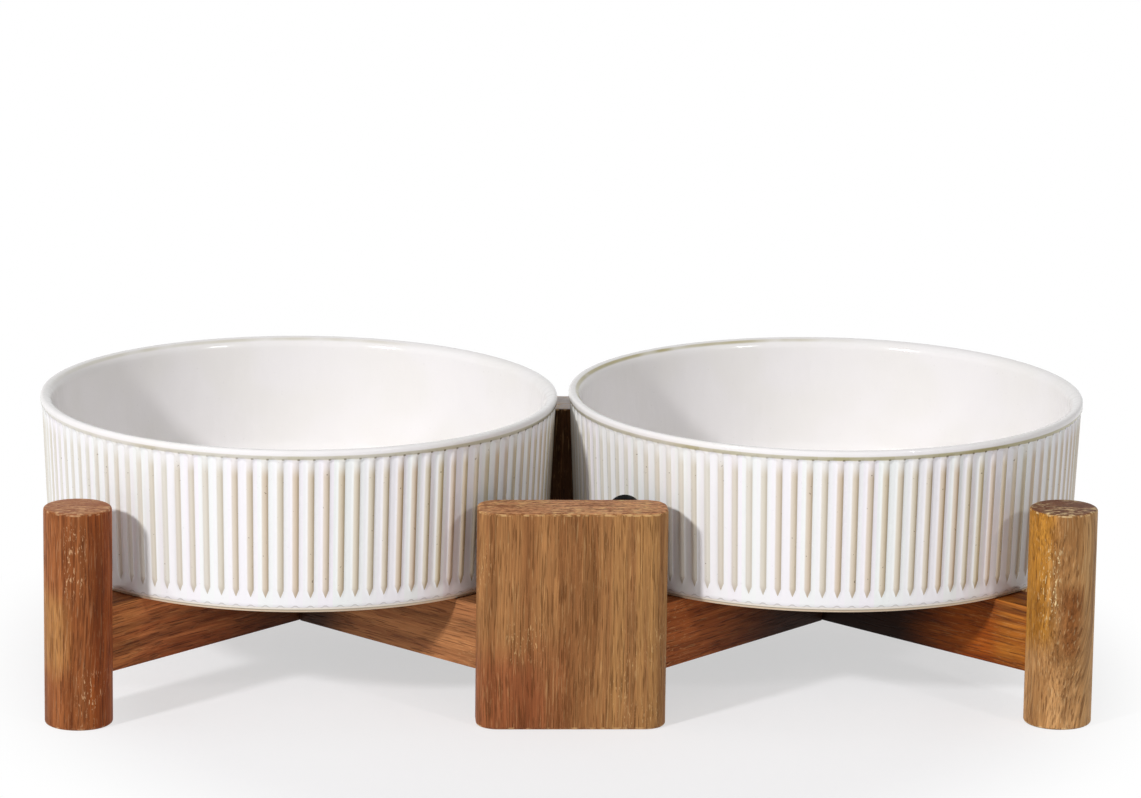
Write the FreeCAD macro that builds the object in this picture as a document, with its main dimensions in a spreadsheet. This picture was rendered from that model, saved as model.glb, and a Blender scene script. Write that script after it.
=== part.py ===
import FreeCAD, Part
import os

import Sketcher

# A low wooden stand that carries two ribbed ceramic bowls side by side.
# Origin: middle of the footprint, on the floor. +X runs along the pair of bowls, -Y is the front.
# Lengths are in millimetres, angles in degrees.
DRIVING_SIZES = {
    # Bowls
    "bowl_diameter": 156,
    "bowl_height": 49.4,
    "bowl_gap": 3.6,
    "bowl_wall": 4,
    "bowl_floor": 5,
    "bowl_draft": 2,
    "bowl_inner_bevel": 8,
    "lip_height": 2.6,
    "lip_overhang": 0.4,
    "lip_outer_bevel_share": 0.15,
    "lip_inner_bevel_share": 0.6,
    "foot_height": 0.9,
    "foot_inset": 0.6,
    "foot_width": 7,
    "base_band_height": 0.9,
    "base_band_inset": 0.25,
    # Pointed ribs that stand round the outside of each bowl
    "rib_count": 108,
    "rib_width": 1.9,
    "rib_height": 0.55,
    "rib_tip_length": 3,
    "rib_base_margin": 2.6,
    "left_bowl_turn": 2.45,
    "right_bowl_turn": 1.55,
    # Crossed bars under the bowls, at an angle to the line of the bowls
    "bar_angle": 46.4,
    "bar_width": 13.4,
    "bar_height": 20,
    "bar_bottom": 15,
    "bar_lap_gap": 0.1,
    # Round legs at the outer ends of the bars
    "leg_diameter": 20,
    "leg_height": 65.3,
    "leg_clearance": 5.6,
    "leg_edge_chamfer": 0.8,
    "leg_housing": 5.5,
    # Posts in the middle of the front and the back, each shared by two bars
    "post_thickness": 18,
    "post_shoulder": 4.1,
    "post_corner_round": 6.5,
    "post_edge_chamfer": 0.8,
    "post_housing": 6,
    # Hidden dowels
    "dowel_diameter": 8,
    "dowel_cover": 4,
    "dowel_gap": 0.05,
    "dowel_end_gap": 0.5,
    # Rubber bumpers on the inner faces of the posts
    "bumper_diameter": 10.4,
    "bumper_crown": 3,
    "bumper_gap": 2.3,
    "bumper_inset": 11.8,
    "bumper_drop": 7.2,
    "front_right_bumper_rise": 1.9,
    # Length by which every cut runs past the piece that it cuts
    "overrun": 12,
}

# Sizes that follow from the driving ones
WORKED_OUT_SIZES = {
    "lip_radius": "bowl_diameter / 2",
    "lip_outer_bevel": "bowl_wall * lip_outer_bevel_share",
    "lip_inner_bevel": "bowl_wall * lip_inner_bevel_share",
    "rib_top_radius": "lip_radius - lip_overhang",
    "rib_base_radius": "rib_top_radius - bowl_draft",
    "wall_top_radius": "rib_top_radius - rib_height",
    "wall_base_radius": "rib_base_radius - rib_height",
    "band_radius": "wall_base_radius - base_band_inset",
    "foot_radius": "band_radius - foot_inset",
    "foot_inner_radius": "foot_radius - foot_width",
    "inner_top_radius": "lip_radius - bowl_wall",
    "inner_base_radius": "rib_base_radius - bowl_wall",
    "band_top": "foot_height + base_band_height",
    "lip_base": "bowl_height - lip_height",
    "inside_base": "foot_height + bowl_floor",
    "draft_slope": "bowl_draft / (lip_base - band_top)",
    "rib_foot": "band_top + rib_base_margin",
    "rib_head": "lip_base + lip_height / 2",
    "bowl_spacing": "bowl_diameter + bowl_gap",
    "bar_top": "bar_bottom + bar_height",
    "bar_middle": "bar_bottom + bar_height / 2",
    "bar_cos": "cos(bar_angle * 1 deg)",
    "bar_sin": "sin(bar_angle * 1 deg)",
    "bar_run": "lip_radius + leg_clearance + leg_diameter / 2",
    "leg_row": "bar_run * bar_sin",
    "leg_floor": "leg_diameter / 2 - leg_housing",
    "bar_to_leg": "bar_run - leg_floor",
    "post_inner": "leg_row - post_thickness / 2",
    "post_width": "bowl_spacing - 2 * (post_inner * bar_cos / bar_sin - post_shoulder)",
    "bar_to_post": "post_inner / bar_sin + post_housing",
    "dowel_half": "leg_diameter - leg_housing - dowel_cover - dowel_end_gap",
    "bumper_place": "post_width / 2 - bumper_inset",
    "bumper_side": "bowl_spacing / 2 - bumper_place - bumper_diameter / 2 + bumper_crown",
    "bumper_reach": "sqrt(rib_top_radius * rib_top_radius - bumper_side * bumper_side)",
    "bumper_height": "post_inner - bumper_reach - bumper_gap",
}

doc = FreeCAD.newDocument("elevated_pet_bowl")
sheet = doc.addObject("Spreadsheet::Sheet", "sizes")


def fill_sheet():
    """One row per size: its name in column A, its value or formula in column B."""
    rows = [(name, str(value)) for name, value in DRIVING_SIZES.items()]
    rows += [(name, "=" + formula) for name, formula in WORKED_OUT_SIZES.items()]
    for row, (name, content) in enumerate(rows, start=1):
        sheet.set(f"A{row}", name)
        sheet.setAlias(f"B{row}", name)
        sheet.set(f"B{row}", content)
    doc.recompute()


def value_of(expression):
    """The present value of an expression on the sheet, as a plain number."""
    result = sheet.evalExpression(expression.replace("sizes.", ""))
    return float(getattr(result, "Value", result))


def bind(item, expressions):
    """Tie properties of a document object to expressions on the sheet."""
    for name, expression in expressions.items():
        item.setExpression(name, expression)
    return item


def turn_about_z(item, angle):
    item.Placement.Rotation = FreeCAD.Rotation(FreeCAD.Vector(0, 0, 1), 0)
    item.setExpression("Placement.Rotation.Angle", angle)


# Sketches and features shared by several pieces
def sketch_on(body, role, name, offset="0"):
    """A sketch on one of the body's own origin planes, moved along its normal by an expression."""
    plane = next(item for item in body.Origin.OriginFeatures if item.Role == role)
    sketch = body.newObject("Sketcher::SketchObject", name)
    sketch.AttachmentSupport = [(plane, "")]
    sketch.MapMode = "FlatFace"
    sketch.setExpression("AttachmentOffset.Base.z", offset)
    return sketch


def draw_outline(sketch, points):
    """A closed outline of straight lines, each corner held by two bound distances from the origin."""
    first = sketch.GeometryCount
    corners = [FreeCAD.Vector(value_of(x), value_of(y), 0) for x, y in points]
    count = len(corners)
    for index, corner in enumerate(corners):
        sketch.addGeometry(Part.LineSegment(corner, corners[(index + 1) % count]))
    for index in range(count):
        following = first + (index + 1) % count
        sketch.addConstraint(Sketcher.Constraint("Coincident", first + index, 2, following, 1))
    for index, (x, y) in enumerate(points, start=first):
        for kind, expression in (("DistanceX", x), ("DistanceY", y)):
            number = sketch.addConstraint(
                Sketcher.Constraint(kind, -1, 1, index, 1, value_of(expression)))
            sketch.renameConstraint(number, f"corner_{index}_{kind}")
            sketch.setExpression(f"Constraints.corner_{index}_{kind}", expression)


def draw_circle(sketch, diameter):
    sketch.addGeometry(Part.Circle(FreeCAD.Vector(), FreeCAD.Vector(0, 0, 1), value_of(diameter) / 2))
    sketch.addConstraint(Sketcher.Constraint("Coincident", 0, 3, -1, 1))
    number = sketch.addConstraint(Sketcher.Constraint("Diameter", 0, value_of(diameter)))
    sketch.renameConstraint(number, "diameter")
    sketch.setExpression("Constraints.diameter", diameter)


def add_pad(body, sketch, name, length):
    pad = body.newObject("PartDesign::Pad", name)
    pad.Profile = sketch
    pad.setExpression("Length", length)
    body.Tip = pad
    return pad


def ease_edges(body, feature, name, kind, size, wanted):
    """A fillet or a chamfer on those edges of a feature that the wanted test picks out."""
    doc.recompute()
    edges = [f"Edge{number}" for number, edge in enumerate(feature.Shape.Edges, start=1) if wanted(edge)]
    eased = body.newObject("PartDesign::" + kind, name)
    eased.Base = (feature, edges)
    eased.Refine = False
    eased.setExpression("Radius" if kind == "Fillet" else "Size", size)
    body.Tip = eased
    return eased


def circle_at(radius, height):
    """A test for a full circle of this radius at this height."""
    slack = value_of("sizes.dowel_gap")

    def wanted(edge):
        if not isinstance(edge.Curve, Part.Circle) or not edge.isClosed():
            return False
        right_size = abs(edge.Curve.Radius - value_of(radius)) < slack
        return right_size and abs(edge.Curve.Center.z - value_of(height)) < slack
    return wanted


def lies_flat(edge):
    """A test for an edge in a level plane."""
    return edge.BoundBox.ZLength < value_of("sizes.dowel_gap")


# Bowls: a drafted wall with one flat between each two ribs, pointed ribs where the flats meet,
# a turned lip and foot, and a turned hollow
def make_wall(label):
    rings = []
    for name, radius, height in (("foot", "sizes.wall_base_radius", "sizes.band_top"),
                                 ("head", "sizes.wall_top_radius", "sizes.lip_base")):
        ring = doc.addObject("Part::RegularPolygon", f"{label}_wall_{name}")
        bind(ring, {
            "Polygon": "sizes.rib_count",
            "Circumradius": radius,
            "Placement.Base.z": height,
        })
        rings.append(ring)
    wall = doc.addObject("Part::Loft", label + "_wall")
    wall.Sections = rings
    wall.Solid = True
    wall.Ruled = True
    doc.recompute()
    return wall


def turn_profile(body, kind, name, outlines):
    """A revolution or a groove of closed outlines about the bowl's axis."""
    sketch = sketch_on(body, "XZ_Plane", name + "_profile")
    for outline in outlines:
        draw_outline(sketch, outline)
    turned = body.newObject("PartDesign::" + kind, name)
    turned.Profile = sketch
    turned.ReferenceAxis = (sketch, ["V_Axis"])
    turned.Angle = 360
    turned.Refine = False
    body.Tip = turned
    doc.recompute()
    return turned


def draw_rib(body, name, height, rise):
    """The V of a rib at one height, its edge this far outside the drafted wall.

    It is drawn three times as high and wide as the rib, so that its root lies inside the wall.
    """
    edge = f"sizes.wall_base_radius + ({height} - sizes.band_top) * sizes.draft_slope + {rise}"
    sketch = sketch_on(body, "XY_Plane", name, height)
    draw_outline(sketch, (
        (edge, "0"),
        (f"{edge} - 3 * sizes.rib_height", "1.5 * sizes.rib_width"),
        (f"{edge} - 3 * sizes.rib_height", "-1.5 * sizes.rib_width"),
    ))
    return sketch


def add_ribs(body, label):
    """One rib, repeated round the wall. It comes out of the wall in a point and runs up into the lip."""
    sections = [draw_rib(body, f"{label}_rib_{name}", height, rise)
                for name, height, rise in (
                    ("foot", "sizes.rib_foot - sizes.rib_tip_length", "-sizes.rib_height"),
                    ("low", "sizes.rib_foot + sizes.rib_tip_length", "sizes.rib_height"),
                    ("head", "sizes.rib_head", "sizes.rib_height"))]
    doc.recompute()
    plain_volume = body.Shape.Volume
    rib = body.newObject("PartDesign::AdditiveLoft", label + "_rib")
    rib.Profile = sections[0]
    rib.Sections = sections[1:]
    rib.Ruled = True
    rib.Refine = False
    body.Tip = rib
    doc.recompute()
    if rib.Shape.Volume <= plain_volume:
        raise RuntimeError("the rib adds nothing to " + label)
    axis = next(item for item in body.Origin.OriginFeatures if item.Role == "Z_Axis")
    ribs = body.newObject("PartDesign::PolarPattern", label + "_ribs")
    ribs.Originals = [rib]
    ribs.Axis = (axis, [""])
    ribs.Angle = 360
    ribs.Refine = False
    ribs.setExpression("Occurrences", "sizes.rib_count")
    body.Tip = ribs
    return ribs


def place_bowl(body, side, turn):
    """A bowl stands on its pair of bars, turned as it was put down."""
    turn_about_z(body, turn)
    bind(body, {
        "Placement.Base.x": f"{side} * sizes.bowl_spacing / 2",
        "Placement.Base.z": "sizes.bar_top",
    })
    return body


def make_bowl(label):
    body = doc.addObject("PartDesign::Body", label)
    body.BaseFeature = make_wall(label)
    add_ribs(body, label)
    lip_outline = (
        ("sizes.inner_base_radius", "sizes.lip_base"),
        ("sizes.lip_radius", "sizes.lip_base"),
        ("sizes.lip_radius", "sizes.bowl_height"),
        ("sizes.inner_base_radius", "sizes.bowl_height"),
    )
    base_outline = (
        ("sizes.foot_inner_radius", "0"),
        ("sizes.foot_radius", "0"),
        ("sizes.foot_radius", "sizes.foot_height"),
        ("sizes.band_radius", "sizes.foot_height"),
        ("sizes.band_radius", "sizes.band_top"),
        ("0", "sizes.band_top"),
        ("0", "sizes.foot_height"),
        ("sizes.foot_inner_radius", "sizes.foot_height"),
    )
    hollow_outline = (
        ("0", "sizes.inside_base"),
        ("sizes.inner_base_radius", "sizes.inside_base"),
        ("sizes.inner_top_radius", "sizes.bowl_height"),
        ("0", "sizes.bowl_height"),
    )
    turned = turn_profile(body, "Revolution", label + "_lip_and_base", (lip_outline, base_outline))
    hollow = turn_profile(body, "Groove", label + "_hollow", (hollow_outline,))
    if hollow.Shape.Volume >= turned.Shape.Volume:
        raise RuntimeError("the hollow cuts nothing from " + label)
    bevels = (
        ("lip_outside", "sizes.lip_outer_bevel", "sizes.lip_radius", "sizes.bowl_height"),
        ("lip_inside", "sizes.lip_inner_bevel", "sizes.inner_top_radius", "sizes.bowl_height"),
        ("inside_foot", "sizes.bowl_inner_bevel", "sizes.inner_base_radius", "sizes.inside_base"),
    )
    eased = hollow
    for name, size, radius, height in bevels:
        eased = ease_edges(body, eased, f"{label}_{name}", "Chamfer", size, circle_at(radius, height))
    return body


def copy_bowl(label, original):
    """A second bowl from the same mould."""
    body = doc.addObject("PartDesign::Body", label)
    copy = doc.addObject("PartDesign::FeatureBase", label + "_copy")
    copy.BaseFeature = original
    body.Group = [copy]
    body.Tip = copy
    return body


# Timber joints: a bar's square end sits in a housing and one dowel runs on through its floor
def make_bore(name, direction, face):
    """A dowel hole along X from the face at this place, towards +X or -X."""
    bore = doc.addObject("Part::Cylinder", name + "_bore")
    bore.Placement.Rotation = FreeCAD.Rotation(FreeCAD.Vector(0, 1, 0), 90 * direction)
    return bind(bore, {
        "Radius": "sizes.dowel_diameter / 2 + sizes.dowel_gap",
        "Height": "sizes.dowel_half + sizes.dowel_end_gap",
        "Placement.Base.x": face,
        "Placement.Base.z": "sizes.bar_middle",
    })


def make_socket(name, housing):
    """The cutter for one bar end: its housing opens towards +X, its floor lies at x = 0."""
    pocket = doc.addObject("Part::Box", name + "_pocket")
    bind(pocket, {
        "Length": f"{housing} + sizes.overrun",
        "Width": "sizes.bar_width",
        "Height": "sizes.bar_height",
        "Placement.Base.y": "-sizes.bar_width / 2",
        "Placement.Base.z": "sizes.bar_bottom",
    })
    socket = doc.addObject("Part::Fuse", name)
    socket.Base = pocket
    socket.Tool = make_bore(name, -1, "0")
    return socket


def leg_bearing(side, end):
    """The direction from the middle of a bowl to one of its legs."""
    angle = "sizes.bar_angle * 1 deg" if side > 0 else "(180 - sizes.bar_angle) * 1 deg"
    return f"{end} * {angle}"


def make_leg(label, side, end):
    """A turned leg whose socket looks back towards the middle of its bowl."""
    body = doc.addObject("PartDesign::Body", label + "_blank")
    sketch = sketch_on(body, "XY_Plane", label + "_section")
    draw_circle(sketch, "sizes.leg_diameter")
    pad = add_pad(body, sketch, label + "_pad", "sizes.leg_height")
    ease_edges(body, pad, label + "_ends", "Chamfer", "sizes.leg_edge_chamfer", lies_flat)
    socket = make_socket(label + "_socket", "sizes.leg_housing")
    socket.setExpression("Placement.Base.x", "sizes.leg_floor")
    leg = doc.addObject("Part::Cut", label)
    leg.Base = body
    leg.Tool = socket
    turn_about_z(leg, leg_bearing(side, end) + " + 180 deg")
    return bind(leg, {
        "Placement.Base.x": f"{side} * (sizes.bowl_spacing / 2 + sizes.bar_run * sizes.bar_cos)",
        "Placement.Base.y": f"{end} * sizes.leg_row",
    })


def make_post(label, end):
    """A broad post with rounded corners. Its inner corners hold one bar of each bowl."""
    body = doc.addObject("PartDesign::Body", label + "_blank")
    sketch = sketch_on(body, "XY_Plane", label + "_section")
    draw_outline(sketch, (
        ("-sizes.post_width / 2", "-sizes.post_thickness / 2"),
        ("sizes.post_width / 2", "-sizes.post_thickness / 2"),
        ("sizes.post_width / 2", "sizes.post_thickness / 2"),
        ("-sizes.post_width / 2", "sizes.post_thickness / 2"),
    ))
    pad = add_pad(body, sketch, label + "_pad", "sizes.leg_height")
    corners = ease_edges(body, pad, label + "_corners", "Fillet", "sizes.post_corner_round",
                         lambda edge: not lies_flat(edge))
    ease_edges(body, corners, label + "_ends", "Chamfer", "sizes.post_edge_chamfer", lies_flat)
    sockets = doc.addObject("Part::Fuse", label + "_sockets")
    sockets.Base = make_socket(label + "_right_socket", "sizes.post_housing")
    sockets.Tool = make_socket(label + "_left_socket", "sizes.post_housing")
    turn_about_z(sockets.Base, "sizes.bar_angle * 1 deg")
    turn_about_z(sockets.Tool, "(180 - sizes.bar_angle) * 1 deg")
    for socket, side in ((sockets.Base, 1), (sockets.Tool, -1)):
        bind(socket, {
            "Placement.Base.x":
                f"{side} * (sizes.bowl_spacing / 2 - sizes.bar_to_post * sizes.bar_cos)",
            "Placement.Base.y": "sizes.leg_row - sizes.bar_to_post * sizes.bar_sin",
        })
    post = doc.addObject("Part::Cut", label)
    post.Base = body
    post.Tool = sockets
    turn_about_z(post, "0 deg" if end < 0 else "180 deg")
    post.setExpression("Placement.Base.y", f"{end} * sizes.leg_row")
    return post


def make_bar(label, side, end, notch_on_top):
    """A bar from a leg, at local +X, to the far post, halved over the other bar under the bowl."""
    blank = doc.addObject("Part::Box", label + "_blank")
    bind(blank, {
        "Length": "sizes.bar_to_leg + sizes.bar_to_post",
        "Width": "sizes.bar_width",
        "Height": "sizes.bar_height",
        "Placement.Base.x": "-sizes.bar_to_post",
        "Placement.Base.y": "-sizes.bar_width / 2",
        "Placement.Base.z": "sizes.bar_bottom",
    })
    crossing = f"{-2 * side * end} * sizes.bar_angle * 1 deg"
    half_reach = "(sizes.bar_width + sizes.overrun)"
    half_slot = "(sizes.bar_width / 2 + sizes.bar_lap_gap)"
    notch = doc.addObject("Part::Box", label + "_notch")
    turn_about_z(notch, crossing)
    bind(notch, {
        "Length": f"2 * {half_reach}",
        "Width": f"2 * {half_slot}",
        "Height": "sizes.bar_height / 2 + sizes.overrun",
        "Placement.Base.x": f"{half_slot} * sin({crossing}) - {half_reach} * cos({crossing})",
        "Placement.Base.y": f"-{half_slot} * cos({crossing}) - {half_reach} * sin({crossing})",
        "Placement.Base.z": "sizes.bar_middle" if notch_on_top else "sizes.bar_bottom - sizes.overrun",
    })
    cuts = doc.addObject("Part::MultiFuse", label + "_cuts")
    cuts.Shapes = [
        notch,
        make_bore(label + "_leg_end", -1, "sizes.bar_to_leg"),
        make_bore(label + "_post_end", 1, "-sizes.bar_to_post"),
    ]
    bar = doc.addObject("Part::Cut", label)
    bar.Base = blank
    bar.Tool = cuts
    turn_about_z(bar, leg_bearing(side, end))
    bar.setExpression("Placement.Base.x", f"{side} * sizes.bowl_spacing / 2")
    return bar


def make_dowel(label, side, end, reach):
    """A dowel, half in the bar's end and half in the wood beyond the housing's floor."""
    body = doc.addObject("PartDesign::Body", label)
    sketch = sketch_on(body, "YZ_Plane", label + "_section", "-sizes.dowel_half")
    draw_circle(sketch, "sizes.dowel_diameter")
    add_pad(body, sketch, label + "_pad", "2 * sizes.dowel_half")
    turn_about_z(body, leg_bearing(side, end))
    return bind(body, {
        "Placement.Base.x": f"{side} * (sizes.bowl_spacing / 2 + {reach} * sizes.bar_cos)",
        "Placement.Base.y": f"{end} * {reach} * sizes.bar_sin",
        "Placement.Base.z": "sizes.bar_middle",
    })


def make_bumper(label, side, end, rise):
    """A soft stud stuck to the inner face of a post, crowned at its free end."""
    body = doc.addObject("PartDesign::Body", label)
    sketch = sketch_on(body, "XY_Plane", label + "_section")
    draw_circle(sketch, "sizes.bumper_diameter")
    pad = add_pad(body, sketch, label + "_pad", "sizes.bumper_height")
    ease_edges(body, pad, label + "_crown", "Chamfer", "sizes.bumper_crown",
               circle_at("sizes.bumper_diameter / 2", "sizes.bumper_height"))
    body.Placement.Rotation = FreeCAD.Rotation(FreeCAD.Vector(1, 0, 0), 90 * end)
    return bind(body, {
        "Placement.Base.x": f"{side} * sizes.bumper_place",
        "Placement.Base.y": f"{end} * sizes.post_inner",
        "Placement.Base.z": f"sizes.leg_height - sizes.bumper_drop + {rise}",
    })


def check_document(pieces):
    """Stop before anything is written if an object failed or a piece has no sound shape."""
    failed = [item.Name for item in doc.Objects if {"Invalid", "Error"} & set(item.State)]
    for piece in pieces:
        if piece.Shape.isNull() or not piece.Shape.isValid() or not piece.Shape.Solids:
            failed.append(piece.Label)
    if failed:
        raise RuntimeError("these objects failed: " + ", ".join(failed))


fill_sheet()
left_bowl = make_bowl("bowl_left")
right_bowl = copy_bowl("bowl_right", left_bowl)
pieces = [
    place_bowl(left_bowl, -1, "sizes.left_bowl_turn * 1 deg"),
    place_bowl(right_bowl, 1, "sizes.right_bowl_turn * 1 deg"),
    make_post("front_post", -1),
    make_post("rear_post", 1),
]
for side_name, side in (("left", -1), ("right", 1)):
    pieces.append(make_bar(side_name + "_lower_bar", side, -1, True))
    pieces.append(make_bar(side_name + "_upper_bar", side, 1, False))
    for end_name, end, far_name in (("front", -1, "rear"), ("rear", 1, "front")):
        rise = "sizes.front_right_bumper_rise" if side > 0 > end else "0"
        pieces.append(make_leg(f"{end_name}_{side_name}_leg", side, end))
        pieces.append(make_dowel(f"{end_name}_{side_name}_leg_dowel", side, end, "sizes.bar_to_leg"))
        pieces.append(make_dowel(f"{far_name}_post_{side_name}_dowel", side, end, "-sizes.bar_to_post"))
        pieces.append(make_bumper(f"{end_name}_{side_name}_bumper", side, end, rise))
doc.recompute()
check_document(pieces)

os.makedirs("parts", exist_ok=True)
for piece in pieces:
    piece.Shape.exportStep(f"parts/{piece.Label}.step")
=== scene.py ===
import math

import bpy
from mathutils import Matrix, Vector


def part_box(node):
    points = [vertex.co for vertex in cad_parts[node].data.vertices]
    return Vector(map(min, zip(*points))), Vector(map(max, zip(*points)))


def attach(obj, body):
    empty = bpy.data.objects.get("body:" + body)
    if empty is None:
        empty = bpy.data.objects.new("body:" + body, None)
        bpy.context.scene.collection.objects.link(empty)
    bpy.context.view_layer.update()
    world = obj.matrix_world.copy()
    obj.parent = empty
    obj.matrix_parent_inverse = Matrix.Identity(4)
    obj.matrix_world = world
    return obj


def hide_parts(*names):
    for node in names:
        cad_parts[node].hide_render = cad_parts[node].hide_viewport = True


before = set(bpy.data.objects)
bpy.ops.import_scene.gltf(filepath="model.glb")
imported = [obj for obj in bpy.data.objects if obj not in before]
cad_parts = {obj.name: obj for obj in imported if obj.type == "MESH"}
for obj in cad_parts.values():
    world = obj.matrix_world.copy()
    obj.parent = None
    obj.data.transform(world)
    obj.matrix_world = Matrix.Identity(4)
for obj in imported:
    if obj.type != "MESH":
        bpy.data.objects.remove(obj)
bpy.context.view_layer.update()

# Crossed bars
# Four straight bars of planed hardwood, two under each bowl. They cross under its middle in a half lap,
# and their square ends are glued into a leg at one end and into a post at the other.
bar_width = 0.0134
bar_ease = 0.0006
bar_ease_steps = 2
bar_smooth_angle = 30
bar_lap_gap = 0.0001
leg_housing = 0.0055
post_housing = 0.006


def middle_of(node):
    low, high = (Vector(corner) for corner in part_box(node))
    return (low + high) / 2


def size_of(node):
    low, high = (Vector(corner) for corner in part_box(node))
    return high - low


def select_only(piece):
    bpy.ops.object.select_all(action="DESELECT")
    bpy.context.view_layer.objects.active = piece
    piece.select_set(True)


def start_piece(name):
    """Puts the place of the primitive that was just added into its mesh, and names it."""
    bpy.ops.object.transform_apply(location=True, rotation=True, scale=True)
    piece = bpy.context.object
    piece.name = name
    piece.data.name = name
    piece.data.materials.clear()
    return piece


def add_block(name, middle, size, turn=0):
    bpy.ops.object.select_all(action="DESELECT")
    bpy.ops.mesh.primitive_cube_add(size=1, location=middle, rotation=(0, 0, turn), scale=size)
    return start_piece(name)


def cut_away(piece, cutter):
    """Cuts the cutter's shape out of a piece, and throws the cutter away."""
    select_only(piece)
    cut = piece.modifiers.new("cut", "BOOLEAN")
    cut.operation = "DIFFERENCE"
    cut.solver = "EXACT"
    cut.object = cutter
    bpy.ops.object.modifier_apply(modifier=cut.name)
    bpy.data.objects.remove(cutter)


def smooth(piece, angle):
    select_only(piece)
    bpy.ops.object.shade_smooth_by_angle(angle=math.radians(angle))


def bar_ends(side, end):
    """The ends of a bar's axis, at its leg and at its post, in the floor plane."""
    bowl = middle_of(f"bowl_{side}").to_2d()
    leg = middle_of(f"{end}_{side}_leg").to_2d()
    along = (leg - bowl).normalized()
    leg_radius = size_of(f"{end}_{side}_leg").x / 2
    post_face = abs(leg.y) - size_of("front_post").y / 2
    at_leg = bowl + along * ((leg - bowl).length - leg_radius + leg_housing)
    at_post = bowl - along * (post_face / abs(along.y) + post_housing)
    return at_leg, at_post


def bar_bearing(side, end):
    at_leg, at_post = bar_ends(side, end)
    return math.atan2(at_leg.y - at_post.y, at_leg.x - at_post.x)


def bar_block(name, side, end, width):
    """A plain bar between its two housings."""
    at_leg, at_post = bar_ends(side, end)
    middle = ((at_leg + at_post) / 2).to_3d()
    middle.z = middle_of("left_lower_bar").z
    size = ((at_leg - at_post).length, width, size_of("left_lower_bar").z)
    return add_block(name, middle, size, bar_bearing(side, end))


def paint(code):
    """A colour from its web code, as the shaders take it."""
    channels = [int(code[place:place + 2], 16) / 255 for place in (1, 3, 5)]
    return (*(c / 12.92 if c <= 0.04045 else ((c + 0.055) / 1.055) ** 2.4 for c in channels), 1)


def plug(tree, socket, value):
    """Links an output to a socket, or sets the socket to a plain value."""
    if isinstance(value, bpy.types.NodeSocket):
        tree.links.new(value, socket)
    else:
        socket.default_value = value


def calc(tree, operation, first, second=0.0, third=0.0):
    made = tree.nodes.new("ShaderNodeMath")
    made.operation = operation
    for socket, value in zip(made.inputs, (first, second, third)):
        plug(tree, socket, value)
    return made.outputs[0]


def times(tree, *values):
    product = values[0]
    for value in values[1:]:
        product = calc(tree, "MULTIPLY", product, value)
    return product


def swing(tree, value):
    """A value that goes from zero to one, set about zero."""
    return calc(tree, "SUBTRACT", value, 0.5)


def between(tree, share, first, second):
    """The value at a share of the way from the first to the second."""
    return calc(tree, "MULTIPLY_ADD", share, calc(tree, "SUBTRACT", second, first), first)


def ease(tree, value, start, stop, low=0.0, high=1.0, kind="SMOOTHSTEP"):
    """A step from low to high as the value goes from start to stop, soft unless a kind is named."""
    made = tree.nodes.new("ShaderNodeMapRange")
    made.interpolation_type = kind
    for socket, content in zip(made.inputs, (value, start, stop, low, high)):
        plug(tree, socket, content)
    return made.outputs[0]


def blend(tree, share, first, second, kind="MIX"):
    """A colour between two others, by the colour sockets of the mix."""
    made = tree.nodes.new("ShaderNodeMix")
    made.data_type = "RGBA"
    made.blend_type = kind
    colour_sockets = (made.inputs[0], made.inputs[6], made.inputs[7])
    for socket, value in zip(colour_sockets, (share, first, second)):
        plug(tree, socket, value)
    return made.outputs[2]


def stretch(tree, vector, factors, shift=(0, 0, 0)):
    made = tree.nodes.new("ShaderNodeVectorMath")
    made.operation = "MULTIPLY_ADD"
    for socket, value in zip(made.inputs, (vector, factors, shift)):
        plug(tree, socket, value)
    return made.outputs[0]


def noise(tree, vector, scale, detail=2.0, rough=0.5):
    made = tree.nodes.new("ShaderNodeTexNoise")
    settings = {"Vector": vector, "Scale": scale, "Detail": detail, "Roughness": rough}
    for name, value in settings.items():
        plug(tree, made.inputs[name], value)
    return made.outputs[0]


def grain(tree, vector, along, across, shift, detail, rough):
    """Noise drawn out along the grain, with its spots per millimetre along and across it."""
    return noise(tree, stretch(tree, vector, (along, across, across), shift), 1, detail, rough)


def split(tree, vector):
    made = tree.nodes.new("ShaderNodeSeparateXYZ")
    plug(tree, made.inputs[0], vector)
    return made.outputs


def upward(tree):
    """How far the surface faces up, from one on a top face to minus one on an underside."""
    return split(tree, tree.nodes.new("ShaderNodeTexCoord").outputs["Normal"])["Z"]


def even_grey(tree, value):
    made = tree.nodes.new("ShaderNodeCombineColor")
    for socket in made.inputs:
        plug(tree, socket, value)
    return made.outputs[0]


def new_group(name, inputs, outputs):
    """An empty shader group with its sockets, as (group, input sockets, output node)."""
    group = bpy.data.node_groups.new(name, "ShaderNodeTree")
    for direction, sockets in (("INPUT", inputs), ("OUTPUT", outputs)):
        for label, kind in sockets.items():
            group.interface.new_socket(label, in_out=direction, socket_type="NodeSocket" + kind)
    return group, group.nodes.new("NodeGroupInput").outputs, group.nodes.new("NodeGroupOutput")


to_mm = (1000, 1000, 1000)
# A layer of the wood: spots per millimetre along and across the grain, shift, detail and roughness.
drift_layer = (0.022, 0.05, (0, 0, 0), 0, 0.5)
wavy_layers = {
    "bands": (0.006, 0.16, (0, 0, 0), 3, 0.55),
    "rings": (0.014, 0.62, (3, 7, 1), 2, 0.6),
    "fibres": (0.06, 2.6, (1, 2, 9), 3, 0.65),
    "pores": (0.11, 2.3, (5, 4, 2), 1, 0.4),
    "pale fibres": (0.13, 2.6, (9, 1, 4), 1, 0.4),
    "streaks": (0.012, 0.2, (8, 3, 6), 2, 0.5),
}
straight_layers = {
    "patches": (0.05, 0.09, (2, 5, 3), 1, 0.5),
    "flecks": (0.45, 1.9, (4, 9, 5), 2, 0.75),
}
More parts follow.
